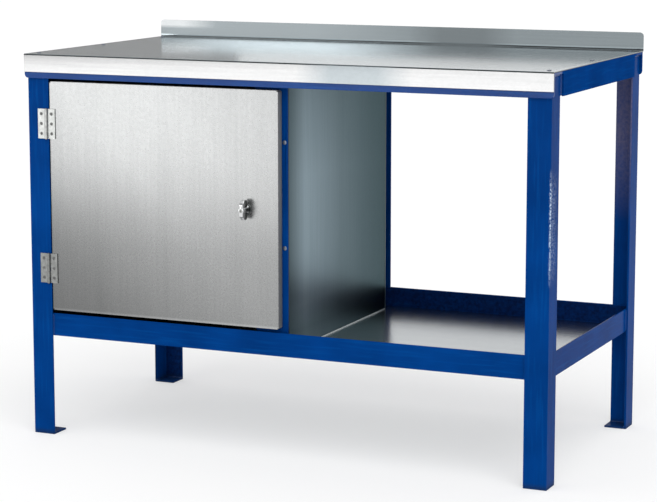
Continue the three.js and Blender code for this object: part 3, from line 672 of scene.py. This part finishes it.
def make_finishes():
    """Materials by node name, by kind of node or by the record's material slot."""
    return {
        "blue_paint": blue_paint("blue_paint"),
        "leg_front_right": blue_paint("blue_paint_glinting", glint_heel=GLINT_HEEL),
        # Painted reflection on the upper inner faces of the rear right leg
        "leg_rear_right": blue_paint("blue_paint_reflection", painted_light=PAINTED_REFLECTION),
        # Painted shade on the inner faces of the rear pieces
        "leg_rear_left": blue_paint("blue_paint_shaded_leg", painted_light=PAINTED_SHADE),
        "lower_rail_rear": blue_paint(
            "blue_paint_shaded_rail", run_scale=PAINT_RUNS_ACROSS, painted_light=PAINTED_SHADE),
        "top_rail_front": blue_paint(
            "blue_paint_glossy", gloss=FRONT_GLOSS, run_scale=PAINT_RUNS_ACROSS),
        "top_side_rail": blue_paint("blue_paint_rail", gloss=RAIL_GLOSS, run_scale=PAINT_RUNS_BACK),
        "side_rail": blue_paint("blue_paint_side", run_scale=PAINT_RUNS_BACK),
        "long_rail": blue_paint("blue_paint_long", run_scale=PAINT_RUNS_ACROSS),
        "weld": blue_paint("blue_paint_weld", gloss=WELD_GLOSS),
        "zinc_plate": zinc_plate(
            "zinc_plate", light=(0.50, 0.51, 0.50), dark=(0.37, 0.38, 0.37), tones=hinge_tones()),
        "hinge_screw": zinc_plate("screw_zinc", light=(0.18, 0.18, 0.18), dark=(0.10, 0.10, 0.10)),
        "rivet": zinc_plate("rivet_zinc", light=(0.24, 0.26, 0.31), dark=(0.13, 0.15, 0.19)),
        "chrome": chrome("chrome"),
        # Dark zinc on the lock's collar: painted shade
        "lock_body": zinc_plate("lock_collar_shaded", light=(0.13, 0.135, 0.135), dark=(0.07, 0.075, 0.075)),
        "wing": chrome("wing_chrome", shaded_flanks=True),
        "worktop_sheet": galvanised(
            "worktop_zinc", light=(0.358, 0.407, 0.428), dark=(0.316, 0.361, 0.381), dullness=0.14,
            streak=LYING_STREAK, tones=worktop_tones(), patches=WORKTOP_PAINTED_REFLECTIONS, lean=UPSTAND_LEAN),
        "shelf_sheet": galvanised(
            "shelf_zinc", light=(0.50, 0.53, 0.55), dark=(0.43, 0.46, 0.48), dullness=0.20,
            streak=LYING_STREAK),
        "door_tray": galvanised(
            "door_zinc", light=(0.393, 0.398, 0.398), dark=(0.356, 0.362, 0.362), dullness=0.27,
            streak=UPRIGHT_STREAK, dull_folds=0.4, tones=door_tones()),
        "cupboard_panel_right": galvanised(
            "bay_panel_zinc", light=(0.262, 0.303, 0.338), dark=(0.22, 0.26, 0.29), dullness=0.36,
            streak=UPRIGHT_STREAK, tones=bay_tones(), edge=BLUISH),
        "galvanised_sheet": galvanised(
            "cut_edge_zinc", light=(0.80, 0.82, 0.82), dark=(0.68, 0.70, 0.70), dullness=0.45,
            streak=LYING_STREAK),
        "panel": galvanised(
            "panel_zinc", light=(0.215, 0.262, 0.28), dark=(0.185, 0.23, 0.248), dullness=0.38,
            streak=UPRIGHT_STREAK),
    }


def smoothing_group():
    """Node group that shades smooth across shallow edges and keeps the rest sharp."""
    group = bpy.data.node_groups.new("smooth_shallow_edges", "GeometryNodeTree")
    for direction in ("INPUT", "OUTPUT"):
        group.interface.new_socket("Geometry", in_out=direction, socket_type="NodeSocketGeometry")
    start = group.nodes.new("NodeGroupInput")
    end = group.nodes.new("NodeGroupOutput")
    faces = group.nodes.new("GeometryNodeSetShadeSmooth")
    faces.domain = "FACE"
    edges = group.nodes.new("GeometryNodeSetShadeSmooth")
    edges.domain = "EDGE"
    angle = group.nodes.new("GeometryNodeInputMeshEdgeAngle")
    shallow = group.nodes.new("FunctionNodeCompare")
    shallow.operation = "LESS_THAN"
    shallow.inputs[1].default_value = SMOOTH_ANGLE
    group.links.new(start.outputs[0], faces.inputs["Geometry"])
    group.links.new(faces.outputs[0], edges.inputs["Geometry"])
    group.links.new(angle.outputs["Unsigned Angle"], shallow.inputs[0])
    group.links.new(shallow.outputs[0], edges.inputs["Shade Smooth"])
    group.links.new(edges.outputs[0], end.inputs[0])
    return group


def round_edges(piece, radius_mm, group, segments=EDGE_SEGMENTS):
    """Welds split vertices, rounds the sharp edges and shades the result smooth."""
    weld = piece.modifiers.new("weld", "WELD")
    weld.merge_threshold = MERGE_DISTANCE
    bevel = piece.modifiers.new("bevel", "BEVEL")
    bevel.limit_method = "ANGLE"
    bevel.angle_limit = BEVEL_ANGLE
    bevel.width = radius_mm * MM
    bevel.segments = segments
    shade(piece, group)
    normals = piece.modifiers.new("normals", "WEIGHTED_NORMAL")
    normals.keep_sharp = True


def shade(piece, group):
    smooth = piece.modifiers.new("smooth", "NODES")
    smooth.node_group = group


def edge_radius(name):
    return next(radius for start, radius in EDGE_RADIUS.items() if name.startswith(start))


# Nodes that share a finish
FINISH_OF = {
    "cupboard_panel_left": "panel", "cupboard_panel_back": "panel",
    "top_rail_left": "top_side_rail", "top_rail_right": "top_side_rail",
    "lower_rail_left": "side_rail", "lower_rail_right": "side_rail",
    "lower_rail_front": "long_rail", "top_rail_rear": "long_rail",
}


def finish_name(name):
    return "hinge_screw" if "_screw_" in name else FINISH_OF.get(name, name)


def dress_nodes(finishes, group, replaced):
    for entry in frame["record"]["subparts"]:
        name = entry["node"]
        if name in replaced:
            continue
        piece = nodes[name]
        material = finishes.get(finish_name(name)) or finishes[entry["material_slot"]]
        piece.data.materials.clear()
        piece.data.materials.append(material)
        round_edges(piece, edge_radius(name), group)


# New pieces
LATHE_STEPS = 48


def solid_object(name, bm):
    """Turns a closed bmesh into an object of the scene, with its faces looking outwards."""
    bmesh.ops.recalc_face_normals(bm, faces=bm.faces)
    return mesh_object(name, bm)


def add_piece(name, bm, body, material):
    piece = solid_object(name, bm)
    piece.data.materials.append(material)
    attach(piece, body)
    return piece


def lathe(bm, profile, centre, axis, steps=LATHE_STEPS):
    """Turns (radius, along) points about an axis through the centre; along is measured on the axis."""
    axis = Vector(axis)
    side = axis.orthogonal().normalized()
    other = axis.cross(side)
    turns = [2 * math.pi * i / steps for i in range(steps)]
    spokes = [math.cos(turn) * side + math.sin(turn) * other for turn in turns]
    rings = []
    for radius, along in profile:
        origin = Vector(centre) + axis * along
        if radius == 0:
            rings.append([bm.verts.new(origin)])
        else:
            rings.append([bm.verts.new(origin + radius * spoke) for spoke in spokes])
    for before, after in zip(rings, rings[1:]):
        for i in range(steps):
            j = (i + 1) % steps
            places = ((before, i), (before, j), (after, j), (after, i))
            # A ring of one point gives the same corner twice
            corners = list(dict.fromkeys(ring[k % len(ring)] for ring, k in places))
            if len(corners) > 2:
                bm.faces.new(corners)


def skin(bm, rings):
    """Closes a row of equal rings into a solid."""
    count = len(rings[0])
    for before, after in zip(rings, rings[1:]):
        for i in range(count):
            j = (i + 1) % count
            bm.faces.new((before[i], before[j], after[j], after[i]))
    bm.faces.new(rings[0])
    bm.faces.new(rings[-1])


def dome(radius, height, steps=6):
    """Profile of a low dome from its rim to just before its crown, as (radius, rise) points."""
    turns = [math.pi / 2 * i / steps for i in range(steps)]
    return [(radius * math.cos(turn), height * math.sin(turn)) for turn in turns]


# Blind rivets: heights and radii of the head's rim and dome, the shank, the tail and the dimple
RIVET_HEAD_HEIGHT = 1.5 * MM
RIVET_RIM_HEIGHT = 0.25 * MM
RIVET_DOME_HEIGHT = 1.25 * MM
RIVET_SHANK_RADIUS = 2.4 * MM
RIVET_TAIL_RADIUS = 3.4 * MM
RIVET_TAIL_CHAMFER = 0.8 * MM
RIVET_TAIL_LENGTH = 2 * MM
DIMPLE_RADIUS = 1.3 * MM
DIMPLE_TAPER = 0.8
DIMPLE_LIP = 0.1 * MM
DIMPLE_DEPTH = 0.5 * MM
RIVET_STEPS = 28
RIVET_EDGE_RADIUS_MM = 0.1
RIVET_EDGE_SEGMENTS = 2


def rivet_profile(head, crown):
    """Half section of a rivet as (radius, along) points, from its tail to the dimple in its head."""
    tail_top = -crown + RIVET_TAIL_LENGTH
    rim = crown - RIVET_HEAD_HEIGHT
    brow = rim + RIVET_RIM_HEIGHT
    pit = crown - DIMPLE_DEPTH
    profile = [
        (0, -crown), (RIVET_SHANK_RADIUS, -crown), (RIVET_TAIL_RADIUS, -crown + RIVET_TAIL_CHAMFER),
        (RIVET_TAIL_RADIUS, tail_top), (RIVET_SHANK_RADIUS, tail_top), (RIVET_SHANK_RADIUS, rim),
        (head, rim), (head, brow),
    ]
    profile += [(radius, brow + rise) for radius, rise in dome(head, RIVET_DOME_HEIGHT)[1:]]
    profile += [(DIMPLE_RADIUS, crown - DIMPLE_LIP), (DIMPLE_RADIUS * DIMPLE_TAPER, pit), (0, pit)]
    return profile


def make_rivets(finishes, group):
    """Blind rivets with a domed head and the dimple of the pulled pin."""
    replaced = []
    for name in sorted(nodes):
        if "_rivet_" not in name:
            continue
        lo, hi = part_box(name)
        size = hi - lo
        upright = name.startswith("worktop")
        axis = ALONG_Z if upright else TO_FRONT
        length = hi.z - lo.z if upright else hi.y - lo.y
        head = max(size.x, size.y if upright else size.z) / 2
        bm = bmesh.new()
        lathe(bm, rivet_profile(head, length / 2), (lo + hi) / 2, axis, RIVET_STEPS)
        piece = add_piece(f"{name}_head", bm, "bench_frame", finishes["rivet"])
        round_edges(piece, RIVET_EDGE_RADIUS_MM, group, RIVET_EDGE_SEGMENTS)
        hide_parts(name)
        replaced.append(name)
    return replaced


def rounded_outline(points, radius, steps=5):
    """Rounds every corner of a closed outline of (u, v) points with an arc."""
    outline = []
    count = len(points)
    for i in range(count):
        corner = Vector(points[i])
        before = (Vector(points[i - 1]) - corner).normalized()
        after = (Vector(points[(i + 1) % count]) - corner).normalized()
        half = math.acos(max(-1, min(1, before.dot(after)))) / 2
        reach = radius / math.tan(half)
        centre = corner + (before + after).normalized() * (radius / math.sin(half))
        start = corner + before * reach - centre
        stop = corner + after * reach - centre
        sweep = start.angle_signed(stop)
        for step in range(steps + 1):
            turned = start.copy()
            turned.rotate(Matrix.Rotation(-sweep * step / steps, 2))
            outline.append(centre + turned)
    return outline


def combine(piece, tool, operation):
    """Joins or cuts the piece with the tool, for good, and deletes the tool."""
    modifier = piece.modifiers.new("combine", "BOOLEAN")
    modifier.operation = operation
    modifier.solver = "EXACT"
    modifier.object = tool
    evaluated = piece.evaluated_get(bpy.context.evaluated_depsgraph_get())
    mesh = bpy.data.meshes.new_from_object(evaluated)
    piece.modifiers.remove(modifier)
    piece.data = mesh
    bpy.data.objects.remove(tool)


# Wing of the lock in millimetres. The outline is that of the upper lobe, as places along Y and heights
# over the lock's axis. Hub and bore are half sections, as radii and places along Y.
WING_OUTLINE = (
    (-299.6, 8.0), (-300.4, 17.0), (-304.0, 20.8), (-313.5, 20.8), (-318.6, 15.4), (-323.6, 12.2),
)
WING_HALF_WIDTH = 4.3
WING_CORNER_RADIUS = 1.6
WING_EDGE_RADIUS = 1.5
WING_EDGE_SEGMENTS = 4
WING_HUB = (
    (0, -264.7), (3.2, -264.7), (3.2, -267.4), (5.0, -267.4), (5.0, -297.45), (9.3, -297.45),
    (9.3, -298.4), (7.6, -301.5), (6.5, -304.5), (6.5, -322.0), (6.1, -323.2), (5.4, -323.8),
    (4.3, -323.8), (4.3, -306.6), (0, -306.6),
)
WING_BORE = ((0, -330.0), (4.3, -330.0), (4.3, -306.6), (0, -306.6))


def make_wing(finishes, group):
    """Wing of the lock: a turned hub through rounded finger lobes."""
    lo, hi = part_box("lock_plug")
    x = (lo.x + hi.x) / 2
    z = (lo.z + hi.z) / 2
    points = list(WING_OUTLINE)
    points += [(y, -height) for y, height in reversed(WING_OUTLINE)]
    outline = rounded_outline(points, WING_CORNER_RADIUS)
    lobes = bmesh.new()
    sides = []
    for half in (-WING_HALF_WIDTH, WING_HALF_WIDTH):
        sides.append([lobes.verts.new((x + half * MM, v.x * MM, z + v.y * MM)) for v in outline])
    lobes.faces.new(sides[0])
    lobes.faces.new(sides[1])
    for i in range(len(outline)):
        lobes.faces.new((sides[0][i - 1], sides[0][i], sides[1][i], sides[1][i - 1]))
    bmesh.ops.recalc_face_normals(lobes, faces=lobes.faces)
    rims = [edge for edge in lobes.edges if edge.calc_face_angle() > BEVEL_ANGLE]
    bmesh.ops.bevel(
        lobes, geom=rims, offset=WING_EDGE_RADIUS * MM, segments=WING_EDGE_SEGMENTS, profile=0.5,
        affect="EDGES")
    wing = add_piece("lock_wing_grip", lobes, "lock_wing_body", finishes["wing"])
    combine(wing, turned_tool("wing_bore", WING_BORE, x, z), "DIFFERENCE")
    combine(wing, turned_tool("wing_hub", WING_HUB, x, z), "UNION")
    shade(wing, group)
    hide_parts("lock_wing")
    return ["lock_wing"]


def turned_tool(name, profile, x, z):
    """Solid turned about the lock's axis at (x, z)."""
    bm = bmesh.new()
    lathe(bm, [(radius * MM, y * MM) for radius, y in profile], (x, 0, z), ALONG_Y)
    return solid_object(name, bm)


# Weld beads of the frame: steps along a bead, its tapered ends, and its ripples and swells as shares of
# its size
BEAD_STEP = 0.0011
BEAD_FEWEST_STEPS = 6
BEAD_SIDES = 10
BEAD_END_SIZE = 0.25
BEAD_END_SLOPE = 3
RIPPLE_SIZE = 0.10
RIPPLE_TURN = 2.1
SWELL_SIZE = 0.05
SWELL_TURN = 0.7
SWELL_SHIFT = 900
# Radii of the beads, the wall of the rolled angle, and how far the beads stay inside its edges
THIN_BEAD = 0.002
SEAM_BEAD = 0.003
CORNER_BEAD = 0.0034
ANGLE_WALL = 0.005
RAIL_INSET = 0.002
HEEL_INSET = 0.001
CORNER_LOW_INSET = 0.001
CORNER_HIGH_INSET = 0.003


def weld_bead(bm, start, end, first, second):
    """Rippled bead from start to end; first and second are the half axes of its section."""
    start = Vector(start)
    run = Vector(end) - start
    first = Vector(first)
    second = Vector(second)
    turns = [2 * math.pi * i / BEAD_SIDES for i in range(BEAD_SIDES)]
    spokes = [math.cos(turn) * first + math.sin(turn) * second for turn in turns]
    count = max(BEAD_FEWEST_STEPS, round(run.length / BEAD_STEP))
    rings = []
    for k in range(count + 1):
        t = k / count
        rise = BEAD_END_SLOPE * min(t, 1 - t) * run.length / (first.length + second.length)
        ripple = RIPPLE_SIZE * math.sin(k * RIPPLE_TURN)
        swell = SWELL_SIZE * math.sin(k * SWELL_TURN + start.x * SWELL_SHIFT)
        size = min(1, rise + BEAD_END_SIZE) * (1 + ripple + swell)
        rings.append([bm.verts.new(start + run * t + size * spoke) for spoke in spokes])
    skin(bm, rings)


def weld_leg(bm, side, outward, end, away):
    """Beads of one leg; outward and away are the signs of its heel's direction along X and Y."""
    leg_lo, leg_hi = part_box(f"leg_{end}_{side}")
    rail_lo, rail_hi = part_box(f"lower_rail_{end}")
    side_lo, side_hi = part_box(f"lower_rail_{side}")
    top_lo, top_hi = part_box(f"top_rail_{side}")
    heel_x = leg_hi.x if outward > 0 else leg_lo.x
    toe_x = leg_lo.x if outward > 0 else leg_hi.x
    heel_y = leg_lo.y if away < 0 else leg_hi.y
    toe_y = leg_hi.y if away < 0 else leg_lo.y
    thin_x = (THIN_BEAD, 0, 0)
    thin_y = (0, THIN_BEAD, 0)
    thin_z = (0, 0, THIN_BEAD)

    # Lower rails along the leg's toes
    rail_face = rail_lo.y if away < 0 else rail_hi.y
    side_face = side_hi.x if outward > 0 else side_lo.x
    low = rail_lo.z + RAIL_INSET
    high = rail_hi.z - RAIL_INSET
    weld_bead(bm, (toe_x, rail_face, low), (toe_x, rail_face, high), thin_x, thin_y)
    weld_bead(bm, (side_face, toe_y, low), (side_face, toe_y, high), thin_x, thin_y)

    # Top side rail over the leg's head and beside its toe
    flank = heel_x - outward * ANGLE_WALL / 2
    seam = (leg_hi.z + top_hi.z - ANGLE_WALL) / 2
    heel = heel_y - away * HEEL_INSET
    weld_bead(bm, (flank, heel, seam), (flank, toe_y, seam), (SEAM_BEAD, 0, 0), (0, 0, SEAM_BEAD))
    web = heel_x - outward * HEEL_INSET
    gap = toe_y - away * ANGLE_WALL / 2
    low = top_lo.z + CORNER_LOW_INSET
    high = top_hi.z - CORNER_HIGH_INSET
    weld_bead(bm, (web, gap, low), (web, gap, high), (CORNER_BEAD, 0, 0), (0, CORNER_BEAD, 0))

    # Foot plate along the leg's inner faces
    foot = leg_lo.z
    inner_x = heel_x - outward * ANGLE_WALL
    inner_y = heel_y - away * ANGLE_WALL
    weld_bead(bm, (toe_x, inner_y, foot), (inner_x, inner_y, foot), thin_y, thin_z)
    weld_bead(bm, (inner_x, toe_y, foot), (inner_x, inner_y, foot), thin_x, thin_z)


def make_welds(finishes, group):
    """Beads where the legs meet the rails and the foot plates."""
    bm = bmesh.new()
    for side, outward in (("left", -1), ("right", 1)):
        for end, away in (("front", -1), ("rear", 1)):
            weld_leg(bm, side, outward, end, away)
    beads = add_piece("weld_beads", bm, "bench_frame", finishes["weld"])
    shade(beads, group)


# Raw cut edge of the bay panel's foot, standing on the shelf: width and height, the shares of them at
# which its upper corner is cut, its steps along the panel and how its width wavers
FOOT_EDGE_SIZE = 1.6 * MM
FOOT_EDGE_FLAT = 0.7
FOOT_EDGE_UPRIGHT = 0.6
FOOT_EDGE_INSET = 0.004
FOOT_EDGE_STEPS = 60
WAVER_SIZE = 0.06
WAVER_TURN = 1.3
FOOT_EDGE_RADIUS_MM = 0.2


def make_foot_edge(finishes, group):
    """Thin bright cut edge along the foot of the bay panel."""
    lo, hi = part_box("cupboard_panel_right")
    size = FOOT_EDGE_SIZE
    profile = (
        (0, 0), (size, 0), (size, size * FOOT_EDGE_UPRIGHT), (size * FOOT_EDGE_FLAT, size), (0, size),
    )
    run = hi.y - lo.y - 2 * FOOT_EDGE_INSET
    bm = bmesh.new()
    rings = []
    for k in range(FOOT_EDGE_STEPS + 1):
        y = lo.y + FOOT_EDGE_INSET + run * k / FOOT_EDGE_STEPS
        waver = 1 + WAVER_SIZE * math.sin(k * WAVER_TURN)
        rings.append([bm.verts.new((hi.x + u * waver, y, lo.z + v)) for u, v in profile])
    skin(bm, rings)
    edge = add_piece(
        "bay_panel_foot_edge", bm, "bench_frame", finishes["galvanised_sheet"])
    round_edges(edge, FOOT_EDGE_RADIUS_MM, group)


make_camera()
make_world()
make_lights()
make_card()
make_floor()
finishes = make_finishes()
group = smoothing_group()
replaced = make_rivets(finishes, group)
replaced += make_wing(finishes, group)
make_welds(finishes, group)
make_foot_edge(finishes, group)
dress_nodes(finishes, group, replaced)

scene.view_settings.view_transform = "Standard"
